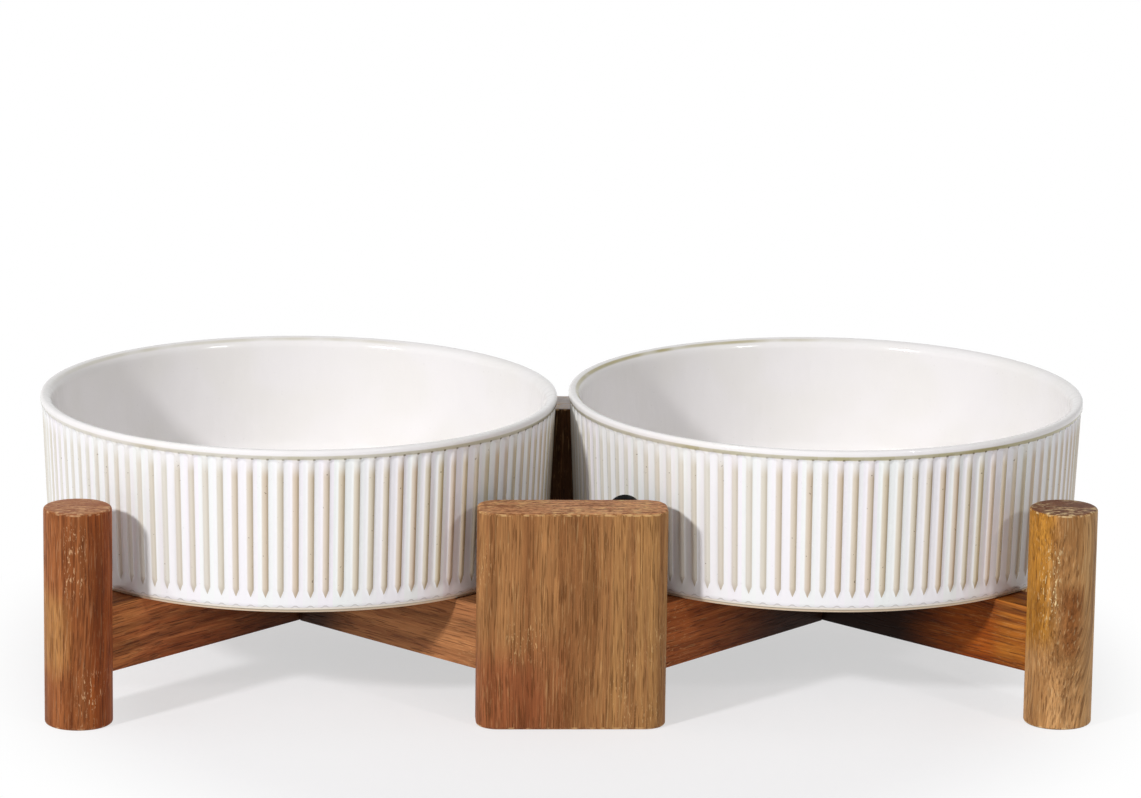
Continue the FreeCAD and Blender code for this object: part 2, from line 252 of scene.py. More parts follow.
# How a layer shows: from where to where in its noise, and how much, where that isn't from none to all.
layer_steps = {
    "streaks": (0.52, 0.7),
    "fibres": (0.3, 0.7, 0.76, 1.24),
    "pores": (0.57, 0.67),
    "pale fibres": (0.62, 0.72, 0.0, 0.18),
    "flecks": (0.58, 0.66),
    "patches": (0.36, 0.54),
}
band_share = 0.6
wood_tone_step = (0.36, 0.64)
pore_share = 0.5
fibre_relief = 0.5
wood_roughness = (0.2, 0.8, 0.62, 0.46)


def make_wood_group():
    """Oiled hardwood with its grain along the vector's X, in metres.

    It has broad bands, fine fibres, dark open pores, pale fibres, dark streaks and clusters of pale
    flecks. Waves is how far its grain wanders sideways, in millimetres.
    """
    tree, given, result = new_group(
        "oiled_wood",
        {"Vector": "Vector", "Light": "Color", "Dark": "Color", "Streak": "Color", "Fleck": "Color",
         "Streaks": "Float", "Flecks": "Float", "Waves": "Float"},
        {"Color": "Color", "Roughness": "Float", "Height": "Float"})
    in_mm = stretch(tree, given["Vector"], to_mm)
    sideways = times(tree, swing(tree, grain(tree, in_mm, *drift_layer)), given["Waves"])
    shift = tree.nodes.new("ShaderNodeCombineXYZ")
    plug(tree, shift.inputs["Y"], sideways)
    plug(tree, shift.inputs["Z"], sideways)
    wavy = stretch(tree, in_mm, (1, 1, 1), shift.outputs[0])
    layer = {name: grain(tree, wavy, *values) for name, values in wavy_layers.items()}
    layer.update({name: grain(tree, in_mm, *values) for name, values in straight_layers.items()})
    shown = {name: ease(tree, layer[name], *step) for name, step in layer_steps.items()}
    tone = between(tree, band_share, layer["rings"], layer["bands"])
    colour = blend(tree, ease(tree, tone, *wood_tone_step), given["Dark"], given["Light"])
    colour = blend(tree, times(tree, shown["streaks"], given["Streaks"]), colour, given["Streak"])
    colour = blend(tree, 1.0, colour, even_grey(tree, shown["fibres"]), "MULTIPLY")
    colour = blend(tree, times(tree, shown["pores"], pore_share), colour, given["Streak"])
    colour = blend(tree, shown["pale fibres"], colour, given["Fleck"])
    fleck = times(tree, shown["flecks"], shown["patches"], given["Flecks"])
    plug(tree, result.inputs["Color"], blend(tree, fleck, colour, given["Fleck"]))
    plug(tree, result.inputs["Roughness"], ease(tree, layer["fibres"], *wood_roughness))
    relief = calc(tree, "SUBTRACT", times(tree, layer["fibres"], fibre_relief), shown["pores"])
    plug(tree, result.inputs["Height"], calc(tree, "ADD", relief, fleck))
    return tree


wood_group = make_wood_group()
wood_sheen = 0.12
bump_strength = 0.6


def new_material(name, sheen):
    """A material with its tree and its own shader."""
    material = bpy.data.materials.new(name)
    material.use_nodes = True
    shader = material.node_tree.nodes["Principled BSDF"]
    shader.inputs["Specular IOR Level"].default_value = sheen
    return material, material.node_tree, shader


def place_group(tree, group, values):
    made = tree.nodes.new("ShaderNodeGroup")
    made.node_tree = group
    for name, value in values.items():
        plug(tree, made.inputs[name], value)
    return made.outputs


def own_place(tree, place=(0, 0, 0), turn=(0, 0, 0)):
    """The piece's own coordinates, seen from a place and a turn of its own."""
    seen = tree.nodes.new("ShaderNodeMapping")
    seen.vector_type = "TEXTURE"
    seen.inputs["Location"].default_value = place
    seen.inputs["Rotation"].default_value = turn
    plug(tree, seen.inputs["Vector"], tree.nodes.new("ShaderNodeTexCoord").outputs["Object"])
    return seen.outputs[0]


def finish(tree, shader, colour, roughness, height, relief):
    """Gives the shader its colour, its roughness and a fine relief."""
    plug(tree, shader.inputs["Base Color"], colour)
    plug(tree, shader.inputs["Roughness"], roughness)
    bumps = tree.nodes.new("ShaderNodeBump")
    bumps.inputs["Distance"].default_value = relief
    bumps.inputs["Strength"].default_value = bump_strength
    plug(tree, bumps.inputs["Height"], height)
    plug(tree, shader.inputs["Normal"], bumps.outputs[0])


# The near-black colour is painted shade, and the gold colour is painted light.
bar_light_patch, bar_painted_shade = "#DCA444", "#180A04"
bar_streak, bar_fleck = "#3C1708", "#D2A26C"
bar_light_patch_run = (0.018, 0.01)
bar_worn_run = (0.02, 0.008)
bar_flecks, bar_worn_flecks = 0.1, 0.25
bar_top_shade_step = (0.5, 0.9)
bar_top_shade = 0.35
bar_relief = 0.00025


def bar_material(name, side, end, light, dark, lap_shade, lap_shade_run, light_patch_share):
    """Bar wood with grain along the bar, painted shade to the lap and on top, painted light at the leg.
    """
    material, tree, shader = new_material(name, wood_sheen)
    at_leg, at_post = bar_ends(side, end)
    half = (at_leg - at_post).length / 2
    seen = own_place(tree, ((at_leg + at_post) / 2).to_3d(), (0, 0, bar_bearing(side, end)))
    along = split(tree, seen)["X"]
    # Painted light: the light wood turns golden at the leg end, where light falls in past the bowl.
    light_patch_at_leg = ease(tree, along, *(half - run for run in bar_light_patch_run))
    at_post_end = ease(tree, along, *(run - half for run in bar_worn_run))
    wood = place_group(tree, wood_group, {
        "Vector": seen,
        "Light": blend(tree, times(tree, light_patch_at_leg, light_patch_share), paint(light), paint(bar_light_patch)),
        "Dark": paint(dark), "Streak": paint(bar_streak), "Fleck": paint(bar_fleck), "Streaks": 0.5,
        "Flecks": calc(tree, "MULTIPLY_ADD", at_post_end, bar_worn_flecks, bar_flecks), "Waves": 2.5})
    # Painted shade: the sides darken toward the lap, and the top faces partly, where the bowl shades
    # the bar.
    shade_to_lap = ease(tree, calc(tree, "ABSOLUTE", along), *lap_shade_run, 0.0, lap_shade)
    bar_shade_share = between(tree, ease(tree, upward(tree), *bar_top_shade_step), shade_to_lap, bar_top_shade)
    colour = blend(tree, bar_shade_share, wood["Color"], paint(bar_painted_shade))
    finish(tree, shader, colour, wood["Roughness"], wood["Height"], bar_relief)
    return material


# Light and dark wood, how strong the painted shade is at the lap, where that starts and is full, and
# the share of painted golden light at the leg.
bar_looks = {
    "left_lower": ("#C07646", "#8A4824", 0.75, (0.055, 0.014), 0.1),
    "left_upper": ("#AE764A", "#8A5635", 0.85, (0.036, 0.016), 0.1),
    "right_upper": ("#AC6232", "#7C3C18", 0.92, (0.074, 0.026), 0.1),
    "right_lower": ("#A05214", "#6C2C06", 0.98, (0.066, 0.034), 0.22),
}
# A bar's level, the end where its leg stands, the other bar's, and its lap's lift in bar heights.
bar_levels = (("lower", "front", "rear", 0.5), ("upper", "rear", "front", -0.5))
for side in ("left", "right"):
    for level, end, other_end, lift in bar_levels:
        node = f"{side}_{level}_bar"
        bar = bar_block(node + "_wood", side, end, bar_width)
        lap_cutter = bar_block("lap", side, other_end, bar_width + 2 * bar_lap_gap)
        lap_cutter.data.transform(Matrix.Translation((0, 0, lift * size_of(node).z)))
        cut_away(bar, lap_cutter)
        eased = bar.modifiers.new("eased edges", "BEVEL")
        eased.width = bar_ease
        eased.segments = bar_ease_steps
        bpy.ops.object.modifier_apply(modifier=eased.name)
        smooth(bar, bar_smooth_angle)
        bar.data.materials.append(bar_material(node, side, end, *bar_looks[f"{side}_{level}"]))
        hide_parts(node)
        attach(bar, "stand")

# Dowels
# Eight plain beech dowels, one in each joint of a bar with a leg or a post. They are cut from rod and
# glued into bores in both pieces, where nothing of them shows.
dowel_relief = 0.0001
beech_looks = {
    "Light": paint("#DDBE92"), "Dark": paint("#C49C6A"), "Streak": paint("#96683C"),
    "Fleck": paint("#EBD6B2"), "Streaks": 0.2, "Flecks": 0.1, "Waves": 2.0}
for side in ("left", "right"):
    for end, other_end in (("front", "rear"), ("rear", "front")):
        joints = {f"{end}_{side}_leg_dowel": end, f"{end}_post_{side}_dowel": other_end}
        for node, bar_end in joints.items():
            beech, beech_tree, beech_shader = new_material(node, wood_sheen)
            seen = own_place(beech_tree, middle_of(node), (0, 0, bar_bearing(side, bar_end)))
            beech_wood = place_group(beech_tree, wood_group, dict(beech_looks, Vector=seen))
            finish(beech_tree, beech_shader, beech_wood["Color"], beech_wood["Roughness"],
                   beech_wood["Height"], dowel_relief)
            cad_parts[node].data.materials.clear()
            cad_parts[node].data.materials.append(beech)

# Legs
# Four turned hardwood legs, solid, with lightly rounded ends. The bar's end sits in a housing that is
# cut into the side that faces the bowl, and a dowel holds it.
leg_facets = 96
leg_end_round = 0.0009
leg_end_steps = 4
leg_smooth_angle = 40


def add_round(name, middle, radius, length, facets, tilt=0):
    bpy.ops.object.select_all(action="DESELECT")
    bpy.ops.mesh.primitive_cylinder_add(
        vertices=facets, radius=radius, depth=length, location=middle, rotation=(tilt, 0, 0))
    return start_piece(name)


def round_edges(piece, wanted, radius, steps):
    """Rounds those edges whose two ends pass the test."""
    bpy.ops.object.mode_set(mode="EDIT")
    bpy.ops.mesh.select_mode(type="EDGE")
    bpy.ops.mesh.select_all(action="DESELECT")
    bpy.ops.object.mode_set(mode="OBJECT")
    corners = piece.data.vertices
    for edge in piece.data.edges:
        edge.select = wanted(*(corners[index].co for index in edge.vertices))
    bpy.ops.object.mode_set(mode="EDIT")
    bpy.ops.mesh.bevel(
        offset=radius, offset_type="OFFSET", segments=steps, profile=0.5, affect="EDGES")
    bpy.ops.object.mode_set(mode="OBJECT")


def lies_level(first, second):
    return first.z == second.z


def foot_of(node):
    """The middle of an upright piece's foot, on the floor."""
    foot = middle_of(node)
    foot.z = 0
    return foot


# Layers across the end grain, as for the wood, and how they show.
to_flat_mm = (1000, 1000, 0)
end_layers = {
    "arcs": (0.08, 0.5, (14, 23, 0), 2, 0.5),
    "pores": (0.5, 1.2, (5, 2, 0), 2, 0.6),
    "torn": (0.3, 1.2, (3, 8, 0), 2, 0.7),
}
end_arc_share = 0.4
end_tone_step = (0.42, 0.58)
torn_step = (0.52, 0.62)
torn_patch_spots = 0.08
torn_patch_step = (0.38, 0.55)
torn_share = 0.85


def make_end_group():
    """Sawn and sanded end grain across the vector's X and Y, in metres: rings, pores, torn flecks."""
    tree, given, result = new_group(
        "end_grain", {"Vector": "Vector", "Light": "Color", "Dark": "Color", "Fleck": "Color"},
        {"Color": "Color"})
    in_mm = stretch(tree, given["Vector"], to_flat_mm)
    layer = {name: grain(tree, in_mm, *values) for name, values in end_layers.items()}
    tone = between(tree, end_arc_share, layer["pores"], layer["arcs"])
    colour = blend(tree, ease(tree, tone, *end_tone_step), given["Dark"], given["Light"])
    patch = ease(tree, noise(tree, in_mm, torn_patch_spots, 1), *torn_patch_step)
    fleck = times(tree, ease(tree, layer["torn"], *torn_step), patch, torn_share)
    plug(tree, result.inputs["Color"], blend(tree, fleck, colour, given["Fleck"]))
    return tree


end_group = make_end_group()


def region(tree, axes, wander, bounds):
    """A soft mask of a stretch of the piece, from an axis with its start and stop for each bound."""
    mask = 1.0
    for axis, start, stop in bounds:
        here = calc(tree, "MULTIPLY_ADD", wander, abs(stop - start), axes[axis])
        mask = times(tree, mask, ease(tree, here, start, stop))
    return mask


wander_spots = (110, 110, 45)
upright_flecks = 0.08
end_face_step = (0.55, 0.9)
rim_start, rim_stop = (0.12, 0.35), (0.9, 0.6)
rim_spots = 420
rim_fleck_step = (0.48, 0.64, 0.0, 0.55)
upright_relief = 0.0002


def upright_wood(name, foot, light, dark, streak, fleck, ends, tints, flecked, fleck_share,
                 streaks, waves):
    """Wood with upright grain: sides, sanded ends, rims paler in patches, tinted and flecked stretches.

    A tint is its light and its dark colour and the bounds of its stretch, in metres from the foot.
    """
    material, tree, shader = new_material(name, wood_sheen)
    seen = own_place(tree, foot)
    lying = own_place(tree, foot, (0, math.radians(90), 0))
    axes = split(tree, seen)
    wander = swing(tree, noise(tree, stretch(tree, seen, wander_spots), 1, 3))
    light_here, dark_here = paint(light), paint(dark)
    for light_tint, dark_tint, bounds in tints:
        tinted = region(tree, axes, wander, bounds)
        light_here = blend(tree, tinted, light_here, paint(light_tint))
        dark_here = blend(tree, tinted, dark_here, paint(dark_tint))
    flecks_here = upright_flecks
    for bounds in flecked:
        worn_here = times(tree, region(tree, axes, wander, bounds), fleck_share)
        flecks_here = calc(tree, "MAXIMUM", flecks_here, worn_here)
    wood = place_group(tree, wood_group, {
        "Vector": lying, "Light": light_here, "Dark": dark_here, "Streak": paint(streak),
        "Fleck": paint(fleck), "Flecks": flecks_here, "Streaks": streaks, "Waves": waves})
    sanded = place_group(tree, end_group, {
        "Vector": seen, "Light": paint(ends[0]), "Dark": paint(ends[1]), "Fleck": paint(fleck)})
    level = calc(tree, "ABSOLUTE", upward(tree))
    colour = blend(tree, ease(tree, level, *end_face_step), wood["Color"], sanded["Color"])
    rim = times(tree, ease(tree, level, *rim_start), ease(tree, level, *rim_stop))
    rim_flecking = ease(tree, noise(tree, seen, rim_spots), *rim_fleck_step)
    colour = blend(tree, times(tree, rim, rim_flecking), colour, paint(fleck))
    finish(tree, shader, colour, wood["Roughness"], wood["Height"], upright_relief)
    return material


leg_looks = {
    "left": dict(
        light="#A4653A", dark="#7C4420", streak="#4A200C", fleck="#DDB083",
        ends=("#B07850", "#94583A"),
        tints=[("#BA8650", "#925E30", [("X", 0.0, -0.006), ("Z", 0.012, 0.022), ("Z", 0.046, 0.036)]),
               ("#B0622C", "#803C16", [("X", 0.002, 0.006)])],
        flecked=[[("X", -0.005, -0.002), ("X", 0.004, 0.001), ("Z", 0.038, 0.044), ("Z", 0.064, 0.06)],
                 [("X", -0.002, 0.002), ("Z", 0.022, 0.014)]],
        fleck_share=0.75, streaks=0.5, waves=3.5),
    "right": dict(
        light="#C2915C", dark="#966A3E", streak="#5A3212", fleck="#F0D4A0",
        ends=("#7C5038", "#5C3622"),
        # Painted light: the first tint is a golden patch on the upper left side, the third lightens the
        # right side.
        tints=[("#BE8434", "#8C5A1E", [("X", -0.001, -0.006), ("Z", 0.02, 0.03)]),
               ("#A06A3A", "#7A4A24", [("X", -0.003, 0.001), ("X", 0.009, 0.006),
                                       ("Z", 0.02, 0.026), ("Z", 0.046, 0.04)]),
               ("#E0B47C", "#BA8C5A", [("X", 0.003, 0.008)]),
               ("#DEAC74", "#B48452", [("X", -0.006, -0.002), ("X", 0.008, 0.005),
                                       ("Z", 0.022, 0.016)])],
        flecked=[[("X", -0.008, -0.006), ("X", 0.0, -0.003), ("Z", 0.03, 0.036), ("Z", 0.058, 0.052)]],
        fleck_share=0.95, streaks=0.5, waves=16.0),
}
for side in ("left", "right"):
    for end in ("front", "rear"):
        node = f"{end}_{side}_leg"
        size = size_of(node)
        leg = add_round(node + "_wood", middle_of(node), size.x / 2, size.z, leg_facets)
        round_edges(leg, lies_level, leg_end_round, leg_end_steps)
        cut_away(leg, bar_block("housing", side, end, bar_width))
        smooth(leg, leg_smooth_angle)
        leg.data.materials.append(upright_wood(node, foot_of(node), **leg_looks[side]))
        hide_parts(node)
        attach(leg, "stand")

# Posts
# Two broad boards on end, at the middle of the front and of the back, with well rounded upright edges.
# Each takes one bar of either bowl in housings in its inner corners. The rear one is painted dark as
# painted shade, and its end grain pale grey as painted light on its top.
post_corner_round = 0.0065
post_corner_steps = 10
post_end_round = 0.0009
post_end_steps = 4
post_smooth_angle = 40
front_post_looks = dict(
    light="#A27245", dark="#895A34", streak="#54300F", fleck="#E2B980", ends=("#CA9062", "#885432"),
    tints=[("#965A36", "#7B4526", [("X", 0.004, -0.012), ("Z", 0.032, 0.014)]),
           ("#A77A49", "#8E613A", [("X", 0.004, 0.018)])],
    flecked=[[("X", -0.022, -0.0265), ("Z", 0.036, 0.046)],
             [("X", 0.008, 0.016), ("Z", 0.036, 0.028)],
             [("X", -0.021, -0.018), ("X", -0.006, -0.01), ("Z", 0.018, 0.022), ("Z", 0.036, 0.03)]],
    fleck_share=0.45, streaks=0.35, waves=2.0)
# Painted shade: the rear post's wood is painted dark; painted light: its end grain is pale grey.
rear_post_looks = dict(
    front_post_looks, light="#6A4428", dark="#422814", streak="#2A1608", ends=("#E4DAD5", "#D0C4BF"))


def stands_upright(first, second):
    return first.z != second.z


for end, bar_end, looks in (("front", "rear", front_post_looks), ("rear", "front", rear_post_looks)):
    node = end + "_post"
    post = add_block(node + "_wood", middle_of(node), size_of(node))
    round_edges(post, stands_upright, post_corner_round, post_corner_steps)
    round_edges(post, lies_level, post_end_round, post_end_steps)
    for side in ("left", "right"):
        cut_away(post, bar_block("housing", side, bar_end, bar_width))
    smooth(post, post_smooth_angle)
    post.data.materials.append(upright_wood(node, foot_of(node), **looks))
    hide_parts(node)
    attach(post, "stand")

# Bumpers
# Four black rubber studs, glued to the posts' inner faces, so that a bowl never knocks on the wood.
# They are moulded, smooth, and domed at the free end.
bumper_facets = 48
bumper_dome = 0.0034
bumper_dome_steps = 8
bumper_smooth_angle = 40
free_end_reach = 0.0006
rubber_blacks = ("#060607", "#0E0E10")
rubber_sheen = 0.001
rubber_spots = 900
rubber_roughness = (0.2, 0.8, 0.12, 0.22)
rubber_relief = 0.00004
rubber, rubber_tree, rubber_shader = new_material("bumper_rubber", rubber_sheen)
rubber_skin = noise(rubber_tree, own_place(rubber_tree), rubber_spots, 3)
rubber_black = blend(rubber_tree, rubber_skin, *map(paint, rubber_blacks))
finish(rubber_tree, rubber_shader, rubber_black, ease(rubber_tree, rubber_skin, *rubber_roughness),
       rubber_skin, rubber_relief)


def lies_at_depth(depth):
    """A test for the edges of one upright face across the depth."""
    return lambda first, second: abs(first.y - depth) + abs(second.y - depth) < free_end_reach


for side in ("left", "right"):
    for end, outward in (("front", 1), ("rear", -1)):
        node = f"{end}_{side}_bumper"
        size, middle = size_of(node), middle_of(node)
        bumper = add_round(
            node + "_rubber", middle, size.x / 2, size.y, bumper_facets, math.radians(90))
        free_end = middle.y + outward * size.y / 2
        round_edges(bumper, lies_at_depth(free_end), bumper_dome, bumper_dome_steps)
        smooth(bumper, bumper_smooth_angle)
        bumper.data.materials.append(rubber)
        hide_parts(node)
        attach(bumper, "stand")

# Bowls
# Two slip-cast ceramic bowls with pointed ribs round the outside. A white glaze covers all but the foot
# ring. It thins to beige on the ribs, and breaks olive under the lip and on its inner edge.
bowl_size = size_of("bowl_left")
bowl_radius = bowl_size.y / 2
bowl_height = bowl_size.z
bowl_smooth_angle = 50
wall_draft = 0.002
wall_thickness = 0.004
lip_overhang = 0.0004
lip_height = 0.0026
lip_outer_round = 0.0009
lip_outer_turn = 80
lip_outer_steps = 4
lip_inner_round = 0.0031
lip_inner_steps = 7
floor_thickness = 0.005
inside_round = 0.014
inside_steps = 8
foot_height = 0.0008
foot_width = 0.007
foot_inset = 0.0007
band_height = 0.0009
band_inset = 0.00025
rib_count = 108
rib_pitch = 2 * math.pi / rib_count
rib_columns = 10
rib_height = 0.00055
rib_tip = 0.0044
rib_full = 0.0074
rib_shoulder = 0.0452
rib_arch = 0.0011
rib_arch_half = 0.65
rib_arch_fade = rib_arch / 3
rib_rows = (0.0028, rib_tip, 0.0054, 0.0064, rib_full, 0.025, 0.0445, rib_shoulder,
            0.0456, 0.046, 0.0464)
rib_swell = (0, 0, 0.03, 0.4, 0.88, 1, 0.88, 0.4, 0.03, 0, 0)
row_reach = 0.0001
seam_reach = 0.00001


def arc(centre_radius, centre_height, radius, first, last, steps):
    """Points on a rounded corner of the bowl's profile, as radius and height, between two bearings."""
    bearings = [math.radians(first + (last - first) * step / steps) for step in range(steps + 1)]
    return [(centre_radius + radius * math.cos(bearing), centre_height + radius * math.sin(bearing))
            for bearing in bearings]


def bowl_profile():
    """The bowl's outline from the middle of its underside, up the outside and over the lip."""
    wall_top = bowl_radius - lip_overhang - rib_height
    wall_base = wall_top - wall_draft
    foot = wall_base - band_inset - foot_inset
    foot_inner = foot - foot_width
    band = wall_base - band_inset
    band_top = foot_height + band_height
    lip_base = bowl_height - lip_height
    slope = wall_draft / (lip_base - band_top)
    lean = math.degrees(math.atan(slope))
    inside = bowl_radius - wall_thickness
    inside_base = foot_height + floor_thickness
    inside_lean = (bowl_height - inside_base) * slope
    inside_foot = inside - inside_lean
    points = [(0, foot_height), (foot_inner, foot_height)]
    points += [(foot_inner + band_inset, 0), (foot - band_inset, 0), (foot, band_inset)]
    points += [(foot, foot_height), (band, foot_height + band_inset / 2)]
    points += [(band, band_top - band_inset / 2), (wall_base, band_top + band_inset / 2)]
    points += [(wall_base + (row - band_top) * slope, row) for row in rib_rows]
    points += [(bowl_radius - lip_overhang, lip_base), (bowl_radius, lip_base + lip_overhang)]
    points += arc(bowl_radius - lip_outer_round, bowl_height - lip_outer_round, lip_outer_round,
                  0, lip_outer_turn, lip_outer_steps)
    points += arc(inside + lip_inner_round, bowl_height - lip_inner_round, lip_inner_round,
                  90, 180 - lean, lip_inner_steps)
    points += [(inside - inside_lean / 2, (bowl_height + inside_base) / 2)]
    points += arc(inside_foot - inside_round, inside_base + inside_round, inside_round,
                  -lean, -90, inside_steps)
    points += [(inside_foot / 2, inside_base), (0, inside_base)]
    return points


def rib_rise(column, height):
    """How far the wall stands out at one column of a rib's sector and one height.

    A rib comes to a point at its foot. Between the heads of two ribs the wall rises in an arch.
    """
    tip_share = min(1, max(0, (height - rib_tip) / (rib_full - rib_tip)))
    rise = max(0, rib_swell[column] - (1 - tip_share))
    from_panel = min(column, rib_columns - column) / (rib_columns / 2)
    arch_top = rib_shoulder + rib_arch * math.sqrt(max(0, 1 - (from_panel / rib_arch_half) ** 2))
    if height > arch_top:
        rise = max(rise, min(1, (height - arch_top) / rib_arch_fade))
    return rib_height * rise


def spin_sector(name):
    """One rib's sector of the bowl, spun from the profile."""
    bpy.ops.object.select_all(action="DESELECT")
    bpy.ops.mesh.primitive_plane_add(size=rib_height)
    sector = start_piece(name)
    bpy.ops.object.mode_set(mode="EDIT")
    bpy.ops.mesh.select_mode(type="VERT")
    bpy.ops.mesh.merge(type="CENTER")
    points = bowl_profile()
    bpy.ops.transform.translate(value=(points[0][0], 0, points[0][1]))
    for (radius_from, height_from), (radius_to, height_to) in zip(points, points[1:]):
        step = (radius_to - radius_from, 0, height_to - height_from)
        bpy.ops.mesh.extrude_region_move(TRANSFORM_OT_translate={"value": step})
    bpy.ops.mesh.select_all(action="SELECT")
    bpy.ops.mesh.spin(steps=rib_columns, angle=rib_pitch, center=(0, 0, 0), axis=(0, 0, 1))
    return sector


def pull_out_rib(sector):
    """Pulls the sector's outer wall out, row by row, to the rib and the arches at its head."""
    outside = bowl_radius - wall_thickness + rib_height
    for column in range(rib_columns + 1):
        for row in rib_rows:
            rise = rib_rise(column, row)
            if not rise:
                continue
            bpy.ops.mesh.select_all(action="DESELECT")
            bpy.ops.object.mode_set(mode="OBJECT")
            for corner in sector.data.vertices:
                place = abs(math.atan2(corner.co.y, corner.co.x)) / rib_pitch * rib_columns
                corner.select = (corner.co.to_2d().length > outside and abs(place - column) < 0.5
                                 and abs(corner.co.z - row) < row_reach)
            bpy.ops.object.mode_set(mode="EDIT")
            share = 1 + rise / (bowl_radius - lip_overhang)
            bpy.ops.transform.resize(value=(share, share, 1), center_override=(0, 0, 0))
    bpy.ops.object.mode_set(mode="OBJECT")


def set_round(sector):
    """Sets the sector round the bowl's axis as often as it has ribs, and closes the seams."""
    bpy.ops.object.empty_add(location=(0, 0, 0), rotation=(0, 0, rib_pitch))
    turn = bpy.context.object
    select_only(sector)
    ring = sector.modifiers.new("ribs", "ARRAY")
    ring.count = rib_count
    ring.use_relative_offset = False
    ring.use_object_offset = True
    ring.offset_object = turn
    ring.use_merge_vertices = True
    ring.use_merge_vertices_cap = True
    ring.merge_threshold = seam_reach
    bpy.ops.object.modifier_apply(modifier=ring.name)
    bpy.data.objects.remove(turn)
    bpy.ops.object.mode_set(mode="EDIT")
    bpy.ops.mesh.select_all(action="SELECT")
    bpy.ops.mesh.remove_doubles(threshold=seam_reach)
    bpy.ops.mesh.normals_make_consistent(inside=False)
    bpy.ops.object.mode_set(mode="OBJECT")


def near(tree, value, middle, reach, fade):
    """One where the value is within reach of a middle, and zero past a fade beyond that."""
    away = calc(tree, "ABSOLUTE", calc(tree, "SUBTRACT", value, middle))
    return ease(tree, away, reach + fade, reach)


def toward(tree, bearing, other):
    """One at the other bearing, zero at right angles to it and minus one opposite."""
    return calc(tree, "COSINE", calc(tree, "SUBTRACT", bearing, other))


inside_whites = ("#EFECEC", "#EDEAE8")
panel_whites = ("#EFEBF0", "#ECEFED")
rib_beiges = ("#C3B490", "#C8AE8E")
lit_side_rib_white = "#DCD9D0"
rib_shade_brown = "#866C4A"
speck_brown = "#5E4E38"
lip_line_olive = "#B2AA80"
rib_head_shade = "#5E5434"
lip_crest_olive = "#A89B62"
band_cream = "#E8E1D6"
arch_grey = "#A39C90"
foot_step_shade = "#8C7F62"
bare_clay = "#E6D2B6"
# Places on the glaze are in millimetres, and places across a rib in parts of the ribs' pitch.
rim_mm = bowl_radius * 1000
lip_base_mm = (bowl_height - lip_height) * 1000
rib_tip_mm = rib_tip * 1000
rib_full_mm = rib_full * 1000
rib_shoulder_mm = rib_shoulder * 1000


def glaze_spot(tree, given):
    """Where a spot lies on the bowl, its rib's hues, and its own warmth with painted shade by bearing.
    """
    outer_face = (rim_mm - 3.9, rim_mm - 3.7)
    below_lip = (lip_base_mm + 0.1, lip_base_mm - 0.1)
    shaded_side_step = (-0.6, 1.0, 0.05, 0.95)
    own_warmth = 0.3
    slow_spots = 0.05
    in_mm = stretch(tree, given["Vector"], to_mm)
    across, back, rise = split(tree, in_mm)
    out = calc(tree, "SQRT", calc(tree, "MULTIPLY_ADD", back, back, times(tree, across, across)))
    bearing = calc(tree, "ARCTAN2", back, across)
    rib = calc(tree, "MULTIPLY", bearing, rib_count / (2 * math.pi))
    off_rib = swing(tree, calc(tree, "FRACT", rib))
    one_rib = tree.nodes.new("ShaderNodeTexWhiteNoise")
    one_rib.noise_dimensions = "1D"
    plug(tree, one_rib.inputs["W"], calc(tree, "FLOOR", rib))
    hues = split(tree, one_rib.outputs["Color"])
    # Painted shade: the ribs turn browner and darker edged on the side turned away from the window.
    shaded_side = ease(tree, toward(tree, bearing, given["Shade Bearing"]), *shaded_side_step)
    return {
        "in_mm": in_mm, "rise": rise, "out": out, "bearing": bearing, "hues": hues,
        "off_rib": off_rib, "from_rib": calc(tree, "ABSOLUTE", off_rib),
        "outside": times(tree, ease(tree, out, *outer_face), ease(tree, rise, *below_lip)),
        "warmth_and_shade": calc(tree, "MULTIPLY_ADD", swing(tree, hues[0]), own_warmth, shaded_side),
        "slow": noise(tree, in_mm, slow_spots)}


